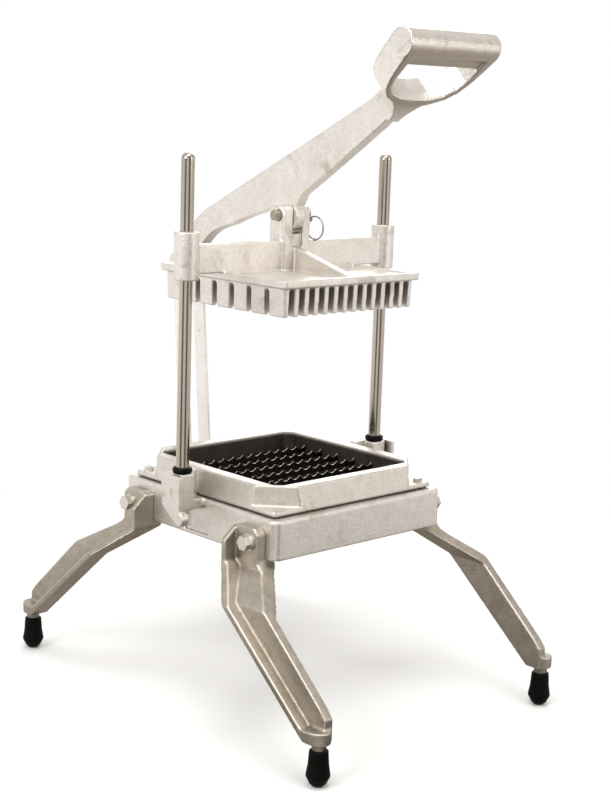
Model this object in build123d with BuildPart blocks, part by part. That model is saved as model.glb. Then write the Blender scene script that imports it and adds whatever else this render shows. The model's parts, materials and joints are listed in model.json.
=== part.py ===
from build123d import *
import math
import os

# Manual vegetable dicer: cast press with a lever, two guide rods, a fingered
# pusher and a two-layer blade grid above an open base on four legs.
# Frame: +Z up, -Y is the operator's side (front), -X is left, origin on the
# ground at the centre between the four feet. Millimetres.
# HALF_X and HALF_Y are half sizes about the centre.

os.makedirs("parts", exist_ok=True)

# ---------------------------------------------------------------------------
# Dimensions shared between pieces
# ---------------------------------------------------------------------------
PIN_GAP = 0.05              # radial clearance of rods and pins in their holes
BUSH_GAP = 0.02             # radial clearance round a bush
SCREW_R, TAPPED_R = 2.98, 3.05      # small screws and their threaded holes
# base casting
BASE_HALF_X, BASE_HALF_Y = 112.8, 115.5
BASE_BOTTOM, BASE_TOP = 168.6, 207.0
BASE_WALL, BASE_DECK = 7.0, 8.0
DECK_BOTTOM = BASE_TOP - BASE_DECK
# blade grid and the diagonal pair of screws that hold its frame
PITCH_X, PITCH_Y = 12.7, 25.4
STRAIGHT_X = [(i - 6) * PITCH_X for i in range(13)]
SCALLOPED_Y = [(i - 2.5) * PITCH_Y for i in range(6)]
LEDGE_Z = 213.1
FRAME_SCREWS = ((-97, 97), (97, -97))
# guide rods
ROD_X, ROD_R = 131.1, 6.35
ROD_BOTTOM, ROD_TOP = 200.5, 538.0
BRACKET_TOP = 234.0
SET_SCREW_Z = 220.0
# pusher sleeves and their bushings
SLEEVE_BOTTOM, SLEEVE_TOP = 419.6, 465.0
SLEEVE_BUSH_R = 8.6
# lever linkage pivots (y and z): hub, rear eye of the lever, lug on the base
HUB_Y, HUB_Z = 0.0, 478.0
EYE_Y, EYE_Z = 161.0, 419.3
LUG_Y, LUG_Z = 139.5, 192.0
HUB_PIN_R, LINK_PIN_R = 4.95, 4.75
PIVOT_HALF = 11.2           # half thickness of the lug and of the rear eye
LEVER_HALF = 6.3
HUB_BUSH_R, EYE_BUSH_R = 7.0, 8.0
# legs, their bolts and feet
FOOT_X, FOOT_Y = 153.2, 224.4
LEG_BOTTOM = 39.5
LEG_HEAD_X = 124.0          # outer face of the plate at the bolt
LEG_BOLT_Y, LEG_BOLT_Z = 91.4, 185.0
LEG_BOLT_HOLE_R = 4.3
STUD_HOLE_R = 4.05

SIDES = (("left", -1), ("right", 1))
CORNERS = (("front_left", -1, -1), ("back_left", -1, 1),
           ("front_right", 1, -1), ("back_right", 1, 1))


def front_plane(x, y, z):
    """Upright plane facing the front, local x along +X and local y along +Z."""
    return Plane(origin=(x, y, z), x_dir=(1, 0, 0), z_dir=(0, -1, 0))


def save(builder, name):
    """Label a finished piece and write its STEP file."""
    builder.part.label = name
    export_step(builder.part, f"parts/{name}.step")


# ---------------------------------------------------------------------------
# Base casting: open-bottomed box, deck opening, rod brackets, rear link lug
# ---------------------------------------------------------------------------
BRACKET_OUTER_X, BRACKET_WALL = 146.9, 4.2
SHELF_BOTTOM, SHELF_TOP = 198.0, 208.0
BLOCK_HALF = 8.6
WEB_OUTER_X, WEB_INNER_X = BRACKET_OUTER_X - 1, 108.2
RECESS_DEPTH = 4.2
LUG_R = 12
LUG_ROOT_Y = BASE_HALF_Y - 3
# side outlines (y, z)
BRACKET_OUTLINE = [(-15.5, BRACKET_TOP), (13.3, BRACKET_TOP), (11.3, 203),
                   (-4, 190.5), (-12, 188), (-15.5, 194)]
WEB_OUTLINE = [(5, BRACKET_TOP), (13.3, BRACKET_TOP), (11.3, 203), (5, SHELF_BOTTOM)]
LUG_OUTLINE = [(LUG_ROOT_Y, 206), (LUG_Y - 4, LUG_Z + LUG_R),
               (LUG_Y, LUG_Z - LUG_R), (LUG_ROOT_Y, 170)]

with BuildPart() as base_frame:
    with BuildSketch(Plane.XY.offset(BASE_BOTTOM)):
        RectangleRounded(2 * BASE_HALF_X, 2 * BASE_HALF_Y, 8)
    extrude(amount=BASE_TOP - BASE_BOTTOM)
    fillet(base_frame.faces().sort_by(Axis.Z)[-1].edges(), radius=3)
    with BuildSketch(Plane.XY.offset(BASE_BOTTOM)):
        RectangleRounded(2 * (BASE_HALF_X - BASE_WALL), 2 * (BASE_HALF_Y - BASE_WALL), 4)
    extrude(amount=DECK_BOTTOM - BASE_BOTTOM, mode=Mode.SUBTRACT)
    with BuildSketch(Plane.XY.offset(DECK_BOTTOM)):
        RectangleRounded(186, 188, 4)
    extrude(amount=BASE_DECK, mode=Mode.SUBTRACT)
    for _, side in SIDES:
        # shallow recess in the side wall
        with BuildSketch(Plane.YZ.offset(side * (BASE_HALF_X + 0.2))):
            with Locations((0, 186.5)):
                RectangleRounded(35, 29, 2)
        extrude(amount=-side * RECESS_DEPTH, mode=Mode.SUBTRACT)
        # outer wall of the rod bracket, with a round lobe at its lower front
        with BuildSketch(Plane.YZ.offset(side * BRACKET_OUTER_X)):
            with BuildLine():
                Polyline(*BRACKET_OUTLINE, close=True)
            make_face()
        extrude(amount=-side * BRACKET_WALL)
        with BuildSketch(Plane.YZ.offset(side * BRACKET_OUTER_X)):
            with Locations((-13.8, 192.5)):
                Circle(7)
        extrude(amount=-side * 9)
        # rear web
        with BuildSketch(Plane.YZ.offset(side * WEB_OUTER_X)):
            with BuildLine():
                Polyline(*WEB_OUTLINE, close=True)
            make_face()
        extrude(amount=-side * (WEB_OUTER_X - WEB_INNER_X))
        # shelf, and the square block that holds the rod
        with BuildSketch(Plane.XY.offset(SHELF_BOTTOM)):
            with Locations((side * 126.2, 1)):
                Rectangle(32.6, 19.2)
        extrude(amount=SHELF_TOP - SHELF_BOTTOM)
        with BuildSketch(Plane.XY.offset(SHELF_BOTTOM)):
            with Locations((side * ROD_X, 0)):
                Rectangle(2 * BLOCK_HALF, 2 * BLOCK_HALF)
        extrude(amount=BRACKET_TOP - SHELF_BOTTOM)
        # keep the space above the deck and inside the wall clear
        with BuildSketch(Plane.XY.offset(BASE_TOP)):
            with Locations((side * 100, 0)):
                Rectangle(2 * (WEB_INNER_X - 100), 60)
        extrude(amount=40, mode=Mode.SUBTRACT)
        with BuildSketch(Plane.XY.offset(BASE_BOTTOM - 1)):
            with Locations((side * (BASE_HALF_X - BASE_WALL - 15), 0)):
                Rectangle(30, 60)
        extrude(amount=DECK_BOTTOM - BASE_BOTTOM + 1, mode=Mode.SUBTRACT)
        # rod socket, and the set-screw hole from the back
        with BuildSketch(Plane.XY.offset(ROD_BOTTOM - 0.5)):
            with Locations((side * ROD_X, 0)):
                Circle(ROD_R + PIN_GAP)
        extrude(amount=BRACKET_TOP - ROD_BOTTOM + 0.5, mode=Mode.SUBTRACT)
        with BuildSketch(front_plane(side * ROD_X, 20, SET_SCREW_Z)):
            Circle(TAPPED_R)
        extrude(amount=20, mode=Mode.SUBTRACT)
    # rear lug for the lower link pivot
    with BuildSketch(Plane.YZ):
        with BuildLine():
            Polyline(*LUG_OUTLINE, close=True)
        make_face()
        with Locations((LUG_Y, LUG_Z)):
            Circle(LUG_R)
    extrude(amount=PIVOT_HALF, both=True)
    with BuildSketch(Plane.YZ):
        with Locations((LUG_Y, LUG_Z)):
            Circle(LINK_PIN_R + PIN_GAP)
    extrude(amount=30, both=True, mode=Mode.SUBTRACT)
    # bolt holes for the legs and tapped holes for the blade frame screws
    for _, side, end in CORNERS:
        with BuildSketch(Plane.YZ.offset(side * (BASE_HALF_X + 1))):
            with Locations((end * LEG_BOLT_Y, LEG_BOLT_Z)):
                Circle(LEG_BOLT_HOLE_R)
        extrude(amount=-side * 12, mode=Mode.SUBTRACT)
    with BuildSketch(Plane.XY.offset(BASE_TOP)):
        with Locations(*FRAME_SCREWS):
            Circle(TAPPED_R)
    extrude(amount=-BASE_DECK, mode=Mode.SUBTRACT)
save(base_frame, "base_frame")

# ---------------------------------------------------------------------------
# Blade frame casting: tapered square ring with cut corners and screw ledges
# ---------------------------------------------------------------------------
FRAME_HALF_X, FRAME_HALF_Y = 106.9, 107.2
FRAME_TOP = 233.4
FRAME_TAPER = 7.3           # degrees
OPENING_HALF_X, OPENING_HALF_Y = 89.7, 90.8
OPENING_CHAMFER = 7.4
CORNER_CUT = 126.9          # centre to each diagonal corner cut
CUT_DEPTH = 50
SLOT_WIDTH = 1.2
SCALLOPED_SLOT_HALF, SCALLOPED_SLOT_TOP = 98.0, 223.2
STRAIGHT_SLOT_HALF, STRAIGHT_SLOT_TOP = 98.5, 214.0

with BuildPart() as blade_frame:
    with BuildSketch(Plane.XY.offset(BASE_TOP)):
        RectangleRounded(2 * FRAME_HALF_X, 2 * FRAME_HALF_Y, 5)
    extrude(amount=FRAME_TOP - BASE_TOP, taper=FRAME_TAPER)
    for k in range(4):
        angle = math.radians(45 + 90 * k)
        with BuildSketch(Plane(origin=(0, 0, LEDGE_Z),
                               x_dir=(math.cos(angle), math.sin(angle), 0), z_dir=(0, 0, 1))):
            with Locations((CORNER_CUT + CUT_DEPTH / 2, 0)):
                Rectangle(CUT_DEPTH, 90)
        extrude(amount=30, mode=Mode.SUBTRACT)
    # upright edges of the corner cuts, then the top edges
    fillet(blade_frame.edges().filter_by(
        lambda e: abs(e.center().Z - (LEDGE_Z + FRAME_TOP) / 2) < 2 and e.length > 15
        and max(abs(e.center().X), abs(e.center().Y)) > 95), radius=3)
    fillet(blade_frame.faces().sort_by(Axis.Z)[-1].edges(), radius=1.8)
    # narrow rebate round the foot, so the frame sits on a recessed pad
    with BuildSketch(Plane.XY.offset(BASE_TOP)):
        RectangleRounded(2 * FRAME_HALF_X + 4, 2 * FRAME_HALF_Y + 4, 5)
        RectangleRounded(2 * FRAME_HALF_X - 6, 2 * FRAME_HALF_Y - 6, 3, mode=Mode.SUBTRACT)
    extrude(amount=1.4, mode=Mode.SUBTRACT)
    with BuildSketch(Plane.XY.offset(BASE_TOP)) as opening:
        Rectangle(2 * OPENING_HALF_X, 2 * OPENING_HALF_Y)
        chamfer(opening.vertices(), length=OPENING_CHAMFER)
    extrude(amount=FRAME_TOP - BASE_TOP, mode=Mode.SUBTRACT)
    fillet(blade_frame.faces().sort_by(Axis.Z)[-1].inner_wires()[0].edges(), radius=1.4)
    # blade slots, open at the underside
    with BuildSketch(Plane.XY.offset(BASE_TOP)):
        for y in SCALLOPED_Y:
            with Locations((0, y)):
                Rectangle(2 * SCALLOPED_SLOT_HALF, SLOT_WIDTH)
    extrude(amount=SCALLOPED_SLOT_TOP - BASE_TOP, mode=Mode.SUBTRACT)
    with BuildSketch(Plane.XY.offset(BASE_TOP)):
        for x in STRAIGHT_X:
            with Locations((x, 0)):
                Rectangle(SLOT_WIDTH, 2 * STRAIGHT_SLOT_HALF)
    extrude(amount=STRAIGHT_SLOT_TOP - BASE_TOP, mode=Mode.SUBTRACT)
    with BuildSketch(Plane.XY.offset(BASE_TOP)):
        with Locations(*FRAME_SCREWS):
            Circle(3.3)
    extrude(amount=LEDGE_Z - BASE_TOP, mode=Mode.SUBTRACT)
save(blade_frame, "blade_frame")

# slotted screws through the ledges into the base deck
FRAME_SCREW_HEAD_R, FRAME_SCREW_HEAD_H = 4.9, 3.6
FRAME_SCREW_TIP = DECK_BOTTOM + 0.5

with BuildPart() as blade_frame_screws:
    for x, y in FRAME_SCREWS:
        with BuildSketch(Plane.XY.offset(LEDGE_Z)):
            with Locations((x, y)):
                Circle(FRAME_SCREW_HEAD_R)
        extrude(amount=FRAME_SCREW_HEAD_H)
        with BuildSketch(Plane.XY.offset(LEDGE_Z + FRAME_SCREW_HEAD_H)):
            with Locations((x, y)):
                Rectangle(1.3, 10)
        extrude(amount=-1.5, mode=Mode.SUBTRACT)
        with BuildSketch(Plane.XY.offset(FRAME_SCREW_TIP)):
            with Locations((x, y)):
                Circle(SCREW_R)
        extrude(amount=LEDGE_Z - FRAME_SCREW_TIP)
save(blade_frame_screws, "blade_frame_screws")

# ---------------------------------------------------------------------------
# Blades
# ---------------------------------------------------------------------------
BLADE_HALF_T = 0.4
# six scalloped blades, left to right: hollow arcs between points on top
SCALLOPS = 14
SCALLOPS_HALF = SCALLOPS / 2 * PITCH_X
SCALLOPED_HALF = 97.4
SCALLOPED_BOTTOM, VALLEY_Z, POINT_Z = 214.3, 219.3, 222.4

for i, y in enumerate(SCALLOPED_Y):
    with BuildPart() as scalloped_blade:
        with BuildSketch(front_plane(0, y, 0)):
            with BuildLine():
                Polyline((-SCALLOPED_HALF, VALLEY_Z), (-SCALLOPED_HALF, SCALLOPED_BOTTOM),
                         (SCALLOPED_HALF, SCALLOPED_BOTTOM), (SCALLOPED_HALF, VALLEY_Z),
                         (SCALLOPS_HALF, VALLEY_Z), (SCALLOPS_HALF, POINT_Z))
                for k in range(SCALLOPS):
                    x = SCALLOPS_HALF - PITCH_X * k
                    ThreePointArc((x, POINT_Z), (x - PITCH_X / 2, VALLEY_Z),
                                  (x - PITCH_X, POINT_Z))
                Polyline((-SCALLOPS_HALF, POINT_Z), (-SCALLOPS_HALF, VALLEY_Z),
                         (-SCALLOPED_HALF, VALLEY_Z))
            make_face()
        extrude(amount=BLADE_HALF_T, both=True)
    save(scalloped_blade, f"scalloped_blade_{i + 1}")

# thirteen straight blades below them, front to back, ground to an edge on top
STRAIGHT_HALF = 98
STRAIGHT_BOTTOM, BEVEL_Z, EDGE_Z = 207.1, 212.2, 213.8
EDGE_HALF_T = 0.08

for i, x in enumerate(STRAIGHT_X):
    with BuildPart() as straight_blade:
        with BuildSketch(front_plane(x, -STRAIGHT_HALF, 0)):
            with BuildLine():
                Polyline((-BLADE_HALF_T, STRAIGHT_BOTTOM), (BLADE_HALF_T, STRAIGHT_BOTTOM),
                         (BLADE_HALF_T, BEVEL_Z), (EDGE_HALF_T, EDGE_Z),
                         (-EDGE_HALF_T, EDGE_Z), (-BLADE_HALF_T, BEVEL_Z), close=True)
            make_face()
        extrude(amount=-2 * STRAIGHT_HALF)
    save(straight_blade, f"straight_blade_{i + 1}")

# ---------------------------------------------------------------------------
# Guide rods, bumpers and their set screws
# ---------------------------------------------------------------------------
BUMPER_HEIGHT, BUMPER_R = 6.0, 9.6
SET_SCREW_LENGTH = 5.6
SET_SCREW_OUTER_Y = ROD_R + 5.7

for name, side in SIDES:
    with BuildPart() as guide_rod:
        with BuildSketch(Plane.XY.offset(ROD_BOTTOM)):
            with Locations((side * ROD_X, 0)):
                Circle(ROD_R)
        extrude(amount=ROD_TOP - ROD_BOTTOM)
        fillet(guide_rod.edges().sort_by(Axis.Z)[-1], radius=5.4)
    save(guide_rod, f"guide_rod_{name}")

    with BuildPart() as rod_bumper:
        with BuildSketch(Plane.XY.offset(BRACKET_TOP)):
            with Locations((side * ROD_X, 0)):
                Circle(BUMPER_R)
        extrude(amount=BUMPER_HEIGHT)
        fillet(rod_bumper.edges(), radius=2.4)
        with BuildSketch(Plane.XY.offset(BRACKET_TOP)):
            with Locations((side * ROD_X, 0)):
                Circle(ROD_R + PIN_GAP)
        extrude(amount=BUMPER_HEIGHT, mode=Mode.SUBTRACT)
    save(rod_bumper, f"rod_bumper_{name}")

with BuildPart() as rod_set_screws:
    for _, side in SIDES:
        with BuildSketch(front_plane(side * ROD_X, SET_SCREW_OUTER_Y, SET_SCREW_Z)):
            Circle(SCREW_R)
        extrude(amount=SET_SCREW_LENGTH)
        with BuildSketch(front_plane(side * ROD_X, SET_SCREW_OUTER_Y, SET_SCREW_Z)):
            RegularPolygon(1.7, 6)
        extrude(amount=3, mode=Mode.SUBTRACT)
save(rod_set_screws, "rod_set_screws")

# ---------------------------------------------------------------------------
# Legs: cast L-section, a flat plate outside the base wall with one deep flange
# along its lower edge, a lip under the base and a round boss for the foot.
# Plate and flange are each a side outline crossed with a front outline.
# ---------------------------------------------------------------------------
PLATE_INNER_X, PLATE_T = 142.3, 10.0
PLATE_OUTER_X = PLATE_INNER_X + PLATE_T
FLANGE_OUTER_X = 164.2
BOSS_R, BOSS_HEIGHT = 10.6, 12
STUD_R, STUD_IN_LEG, STUD_IN_RUBBER = 4.0, 9.5, 19.5
RUBBER_TOP = 33.5
SIDE_START_X, SIDE_DEPTH = 100, 70      # sideways sweep of the side outlines
FRONT_DEPTH = 260                       # sweep of the front outlines
# side outlines: (distance from the centre along y, z)
PLATE_SIDE = [
    (74, 199), (67, 193.5), (67, 162.2), (213.2, LEG_BOTTOM), (230, LEG_BOTTOM),
    (230, 61), (223, 69), (215, 76.2), (149, 134.5), (114, 157), (103, 166),
    (103, 193.5), (97.5, 199)]
FLANGE_SIDE = [
    (67, 197), (73.5, 197), (73.5, 165.7), (211, 50.5), (224, 50.5),
    (224, LEG_BOTTOM), (213.2, LEG_BOTTOM), (67, 162.2)]
# front outlines: (distance from the centre along x, z)
INNER_FRONT = [(BASE_HALF_X, BASE_BOTTOM), (102, BASE_BOTTOM), (102, 163.5),
               (PLATE_INNER_X, 131), (PLATE_INNER_X, LEG_BOTTOM)]
PLATE_FRONT = [
    (BASE_HALF_X, 199), *INNER_FRONT, (PLATE_OUTER_X, LEG_BOTTOM),
    (PLATE_OUTER_X, 136.5), (LEG_HEAD_X, 160), (LEG_HEAD_X, 199)]
FLANGE_FRONT = [
    (BASE_HALF_X, 197), *INNER_FRONT, (FLANGE_OUTER_X, LEG_BOTTOM),
    (FLANGE_OUTER_X, 134.5), (137.5, 162.5), (137.5, 184.5),
    (LEG_HEAD_X, 196.5), (LEG_HEAD_X, 197)]
# half section of the rubber foot (radius, z)
RUBBER_PROFILE = [
    (0, 0), (4.6, 0), (7.9, 3.2), (10.9, 9.4), (10.9, 11.2), (9.5, 19.5),
    (8.9, 28.5), (8.6, 32.6), (7.7, RUBBER_TOP), (0, RUBBER_TOP)]

for name, side, end in CORNERS:
    foot = (side * FOOT_X, end * FOOT_Y)
    with BuildPart() as leg_flange:
        with BuildSketch(Plane.YZ.offset(side * SIDE_START_X)):
            with BuildLine():
                Polyline(*[(end * y, z) for y, z in FLANGE_SIDE], close=True)
            make_face()
        extrude(amount=side * SIDE_DEPTH)
        with BuildSketch(Plane.XZ):
            with BuildLine():
                Polyline(*[(side * x, z) for x, z in FLANGE_FRONT], close=True)
            make_face()
        extrude(amount=-end * FRONT_DEPTH, mode=Mode.INTERSECT)
    with BuildPart() as leg:
        with BuildSketch(Plane.YZ.offset(side * SIDE_START_X)):
            with BuildLine():
                Polyline(*[(end * y, z) for y, z in PLATE_SIDE], close=True)
            make_face()
        extrude(amount=side * SIDE_DEPTH)
        with BuildSketch(Plane.XZ):
            with BuildLine():
                Polyline(*[(side * x, z) for x, z in PLATE_FRONT], close=True)
            make_face()
        extrude(amount=-end * FRONT_DEPTH, mode=Mode.INTERSECT)
        add(leg_flange.part)
        # round boss for the foot stud, standing proud of the plate
        with BuildSketch(Plane.XY.offset(LEG_BOTTOM)):
            with Locations(foot):
                Circle(BOSS_R)
        extrude(amount=BOSS_HEIGHT)
        with BuildSketch(Plane.XY.offset(LEG_BOTTOM)):
            with Locations(foot):
                Circle(STUD_HOLE_R)
        extrude(amount=STUD_IN_LEG + 0.3, mode=Mode.SUBTRACT)
        # hole for the mounting bolt
        with BuildSketch(Plane.YZ.offset(side * BASE_HALF_X)):
            with Locations((end * LEG_BOLT_Y, LEG_BOLT_Z)):
                Circle(LEG_BOLT_HOLE_R)
        extrude(amount=side * 14, mode=Mode.SUBTRACT)
    save(leg, f"leg_{name}")

    with BuildPart() as rubber_foot:
        with BuildSketch(front_plane(*foot, 0)):
            with BuildLine():
                Polyline(*RUBBER_PROFILE, close=True)
            make_face()
        revolve(axis=Axis((*foot, 0), (0, 0, 1)))
        with BuildSketch(Plane.XY.offset(RUBBER_TOP)):
            with Locations(foot):
                Circle(STUD_HOLE_R)
        extrude(amount=-(STUD_IN_RUBBER + 0.5), mode=Mode.SUBTRACT)
    save(rubber_foot, f"rubber_foot_{name}")

# studs with a collar between rubber and leg
COLLAR_GAP = 0.3
with BuildPart() as foot_studs:
    for _, side, end in CORNERS:
        with BuildSketch(Plane.XY.offset(RUBBER_TOP - STUD_IN_RUBBER)):
            with Locations((side * FOOT_X, end * FOOT_Y)):
                Circle(STUD_R)
        extrude(amount=LEG_BOTTOM + STUD_IN_LEG - RUBBER_TOP + STUD_IN_RUBBER)
        with BuildSketch(Plane.XY.offset(RUBBER_TOP + COLLAR_GAP)):
            with Locations((side * FOOT_X, end * FOOT_Y)):
                Circle(6.5)
        extrude(amount=LEG_BOTTOM - RUBBER_TOP - 2 * COLLAR_GAP)
save(foot_studs, "foot_studs")

# ---------------------------------------------------------------------------
# Leg bolts: washer, split lock washer and hex head outside, hex nut inside
# ---------------------------------------------------------------------------
WASHER_T, LOCK_WASHER_T = 1.5, 2.0
WASHER_BORE_R = 4.2
LOCK_WASHER_X = LEG_HEAD_X + WASHER_T
BOLT_HEAD_X = LOCK_WASHER_X + LOCK_WASHER_T
BOLT_TIP_X = 95.5
LEG_HEX_R = 7.4             # centre to corner

with BuildPart() as leg_washers:
    for _, side, end in CORNERS:
        with BuildSketch(Plane.YZ.offset(side * LEG_HEAD_X)):
            with Locations((end * LEG_BOLT_Y, LEG_BOLT_Z)):
                Circle(8.2)
                Circle(WASHER_BORE_R, mode=Mode.SUBTRACT)
        extrude(amount=side * WASHER_T)
save(leg_washers, "leg_washers")

with BuildPart() as leg_lock_washers:
    for _, side, end in CORNERS:
        with BuildSketch(Plane.YZ.offset(side * LOCK_WASHER_X)):
            with Locations((end * LEG_BOLT_Y, LEG_BOLT_Z)):
                Circle(6.9)
                Circle(WASHER_BORE_R, mode=Mode.SUBTRACT)
            with Locations((end * LEG_BOLT_Y + 5.5, LEG_BOLT_Z)):
                Rectangle(5, 1.4, rotation=25, mode=Mode.SUBTRACT)
        extrude(amount=side * LOCK_WASHER_T)
save(leg_lock_washers, "leg_lock_washers")

with BuildPart() as leg_bolts:
    for _, side, end in CORNERS:
        with BuildSketch(Plane.YZ.offset(side * BOLT_HEAD_X)):
            with Locations((end * LEG_BOLT_Y, LEG_BOLT_Z)):
                RegularPolygon(LEG_HEX_R, 6)
        extrude(amount=side * 5.3)
        with BuildSketch(Plane.YZ.offset(side * BOLT_TIP_X)):
            with Locations((end * LEG_BOLT_Y, LEG_BOLT_Z)):
                Circle(3.95)
        extrude(amount=side * (BOLT_HEAD_X - BOLT_TIP_X))
save(leg_bolts, "leg_bolts")

with BuildPart() as leg_nuts:
    for _, side, end in CORNERS:
        with BuildSketch(Plane.YZ.offset(side * (BASE_HALF_X - BASE_WALL))):
            with Locations((end * LEG_BOLT_Y, LEG_BOLT_Z)):
                RegularPolygon(LEG_HEX_R, 6)
                Circle(4.0, mode=Mode.SUBTRACT)
        extrude(amount=-side * 6.5)
save(leg_nuts, "leg_nuts")

# ---------------------------------------------------------------------------
# Pusher casting: finger block, rimmed plate, cross beam, sleeves, clevis tower
# ---------------------------------------------------------------------------
PLATE_HALF_X, PLATE_HALF_Y = 89.8, 94.3
PLATE_BOTTOM, PLATE_TOP, RIM_TOP = 418.5, 423.6, 425.6
RIM_WIDTH = 7.5
ROOT_Z = PLATE_TOP - 1      # features on the plate start just inside it
BLOCK_HALF_X, BLOCK_HALF_Y, BLOCK_BOTTOM = 86.4, 88.6, 391.2
FINGER_GAP_X, FINGER_GAP_Y = 7.0, 6.8
GAP_X_TOP = 417.0
BEAM_HALF_T, BEAM_BOTTOM, BEAM_TOP = 6.0, 425.0, 453.0
SLEEVE_R = 11.85
EAR_INNER_X, EAR_OUTER_X = 6.7, 16.0
EAR_FRONT_Y, EAR_BACK_Y, EAR_TOP = -10.9, 12.9, 487.0
EAR_CHAMFER = 3
EAR_SLOT_BOTTOM, EAR_SLOT_TOP = 460, 490
GUSSET_Y, GUSSET_TOP = 88, 447

with BuildPart() as pusher_head:
    # tapered block, cut into fingers by two sets of gaps
    with BuildSketch(Plane.XY.offset(PLATE_BOTTOM)):
        RectangleRounded(2 * BLOCK_HALF_X, 2 * BLOCK_HALF_Y, 4)
    extrude(amount=-(PLATE_BOTTOM - BLOCK_BOTTOM), taper=2.2)
    with BuildSketch(Plane.XZ):
        for x in STRAIGHT_X:
            with Locations((x, (BLOCK_BOTTOM - 3 + GAP_X_TOP) / 2)):
                Rectangle(FINGER_GAP_X, GAP_X_TOP - BLOCK_BOTTOM + 3)
    extrude(amount=100, both=True, mode=Mode.SUBTRACT)
    with BuildSketch(Plane.YZ):
        for y in SCALLOPED_Y:
            with Locations((y, BLOCK_BOTTOM + 9)):
                Rectangle(FINGER_GAP_Y, 25)
            with Locations((y, BLOCK_BOTTOM + 21.3)):
                Circle(FINGER_GAP_Y / 2)
    extrude(amount=100, both=True, mode=Mode.SUBTRACT)
    # plate with a raised rim
    with BuildSketch(Plane.XY.offset(PLATE_BOTTOM)):
        RectangleRounded(2 * PLATE_HALF_X, 2 * PLATE_HALF_Y, 4)
    extrude(amount=RIM_TOP - PLATE_BOTTOM)
    with BuildSketch(Plane.XY.offset(PLATE_TOP)):
        RectangleRounded(2 * (PLATE_HALF_X - RIM_WIDTH), 2 * (PLATE_HALF_Y - RIM_WIDTH), 5)
    extrude(amount=RIM_TOP - PLATE_TOP, mode=Mode.SUBTRACT)
    # cross beam
    with BuildSketch(Plane.XZ):
        with BuildLine():
            Polyline((-ROD_X, BEAM_BOTTOM), (-ROD_X, BEAM_TOP), (ROD_X, BEAM_TOP),
                     (ROD_X, BEAM_BOTTOM), (90, BEAM_BOTTOM), (88, ROOT_Z),
                     (-88, ROOT_Z), (-90, BEAM_BOTTOM), close=True)
        make_face()
    extrude(amount=BEAM_HALF_T, both=True)
    # rod sleeves
    for _, side in SIDES:
        with BuildSketch(Plane.XY.offset(SLEEVE_BOTTOM)):
            with Locations((side * ROD_X, 0)):
                Circle(SLEEVE_R)
        extrude(amount=SLEEVE_TOP - SLEEVE_BOTTOM)
    # clevis tower
    with BuildSketch(Plane.YZ):
        with BuildLine():
            Polyline((EAR_FRONT_Y, ROOT_Z), (EAR_FRONT_Y, EAR_TOP - EAR_CHAMFER),
                     (EAR_FRONT_Y + EAR_CHAMFER, EAR_TOP), (EAR_BACK_Y - EAR_CHAMFER, EAR_TOP),
                     (EAR_BACK_Y, EAR_TOP - EAR_CHAMFER), (EAR_BACK_Y, ROOT_Z), close=True)
        make_face()
    extrude(amount=EAR_OUTER_X, both=True)
    # boss and rib on the outside of each ear
    for _, side in SIDES:
        with BuildSketch(Plane.YZ.offset(side * EAR_OUTER_X)):
            with Locations((HUB_Y, HUB_Z)):
                Circle(8.3)
            with Locations((HUB_Y, (HUB_Z + PLATE_TOP) / 2)):
                Rectangle(9, HUB_Z - PLATE_TOP)
        extrude(amount=side * 1.4)
    # front and rear gussets
    with BuildSketch(Plane.YZ):
        for end, ear_y in ((-1, EAR_FRONT_Y), (1, EAR_BACK_Y)):
            with BuildLine():
                Polyline((end * GUSSET_Y, ROOT_Z), (end * GUSSET_Y, PLATE_TOP + 2.5),
                         (ear_y, GUSSET_TOP), (ear_y - end * 2, GUSSET_TOP),
                         (ear_y - end * 2, ROOT_Z), close=True)
            make_face()
    extrude(amount=4.2, both=True)
    # slot between the ears, and the recess below it in the front face
    with BuildSketch(Plane.YZ):
        with Locations((1, (EAR_SLOT_BOTTOM + EAR_SLOT_TOP) / 2)):
            Rectangle(40, EAR_SLOT_TOP - EAR_SLOT_BOTTOM)
    extrude(amount=EAR_INNER_X, both=True, mode=Mode.SUBTRACT)
    with BuildSketch(Plane.XZ.offset(-EAR_FRONT_Y)):
        with Locations((0, (GUSSET_TOP + EAR_SLOT_BOTTOM) / 2)):
            Rectangle(2 * EAR_INNER_X, EAR_SLOT_BOTTOM - GUSSET_TOP)
    extrude(amount=-4, mode=Mode.SUBTRACT)
    # bores
    with BuildSketch(Plane.YZ):
        with Locations((HUB_Y, HUB_Z)):
            Circle(HUB_PIN_R + PIN_GAP)
    extrude(amount=30, both=True, mode=Mode.SUBTRACT)
    with BuildSketch(Plane.XY.offset(SLEEVE_BOTTOM)):
        with Locations((-ROD_X, 0), (ROD_X, 0)):
            Circle(SLEEVE_BUSH_R + BUSH_GAP)
    extrude(amount=SLEEVE_TOP - SLEEVE_BOTTOM, mode=Mode.SUBTRACT)
save(pusher_head, "pusher_head")

SLEEVE_BUSH_INSET = 0.3
for name, side in SIDES:
    with BuildPart() as sleeve_bushing:
        with BuildSketch(Plane.XY.offset(SLEEVE_BOTTOM + SLEEVE_BUSH_INSET)):
            with Locations((side * ROD_X, 0)):
                Circle(SLEEVE_BUSH_R)
                Circle(ROD_R + PIN_GAP, mode=Mode.SUBTRACT)
        extrude(amount=SLEEVE_TOP - SLEEVE_BOTTOM - 2 * SLEEVE_BUSH_INSET)
    save(sleeve_bushing, f"sleeve_bushing_{name}")

# ---------------------------------------------------------------------------
# Lever casting: curved rear arm, hub, tapered shank and D-shaped grip
# ---------------------------------------------------------------------------
HUB_R, EYE_R = 15.4, 14
GRIP_ANGLE = math.radians(41.0)
GRIP_SIN, GRIP_COS = math.sin(GRIP_ANGLE), math.cos(GRIP_ANGLE)
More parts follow.
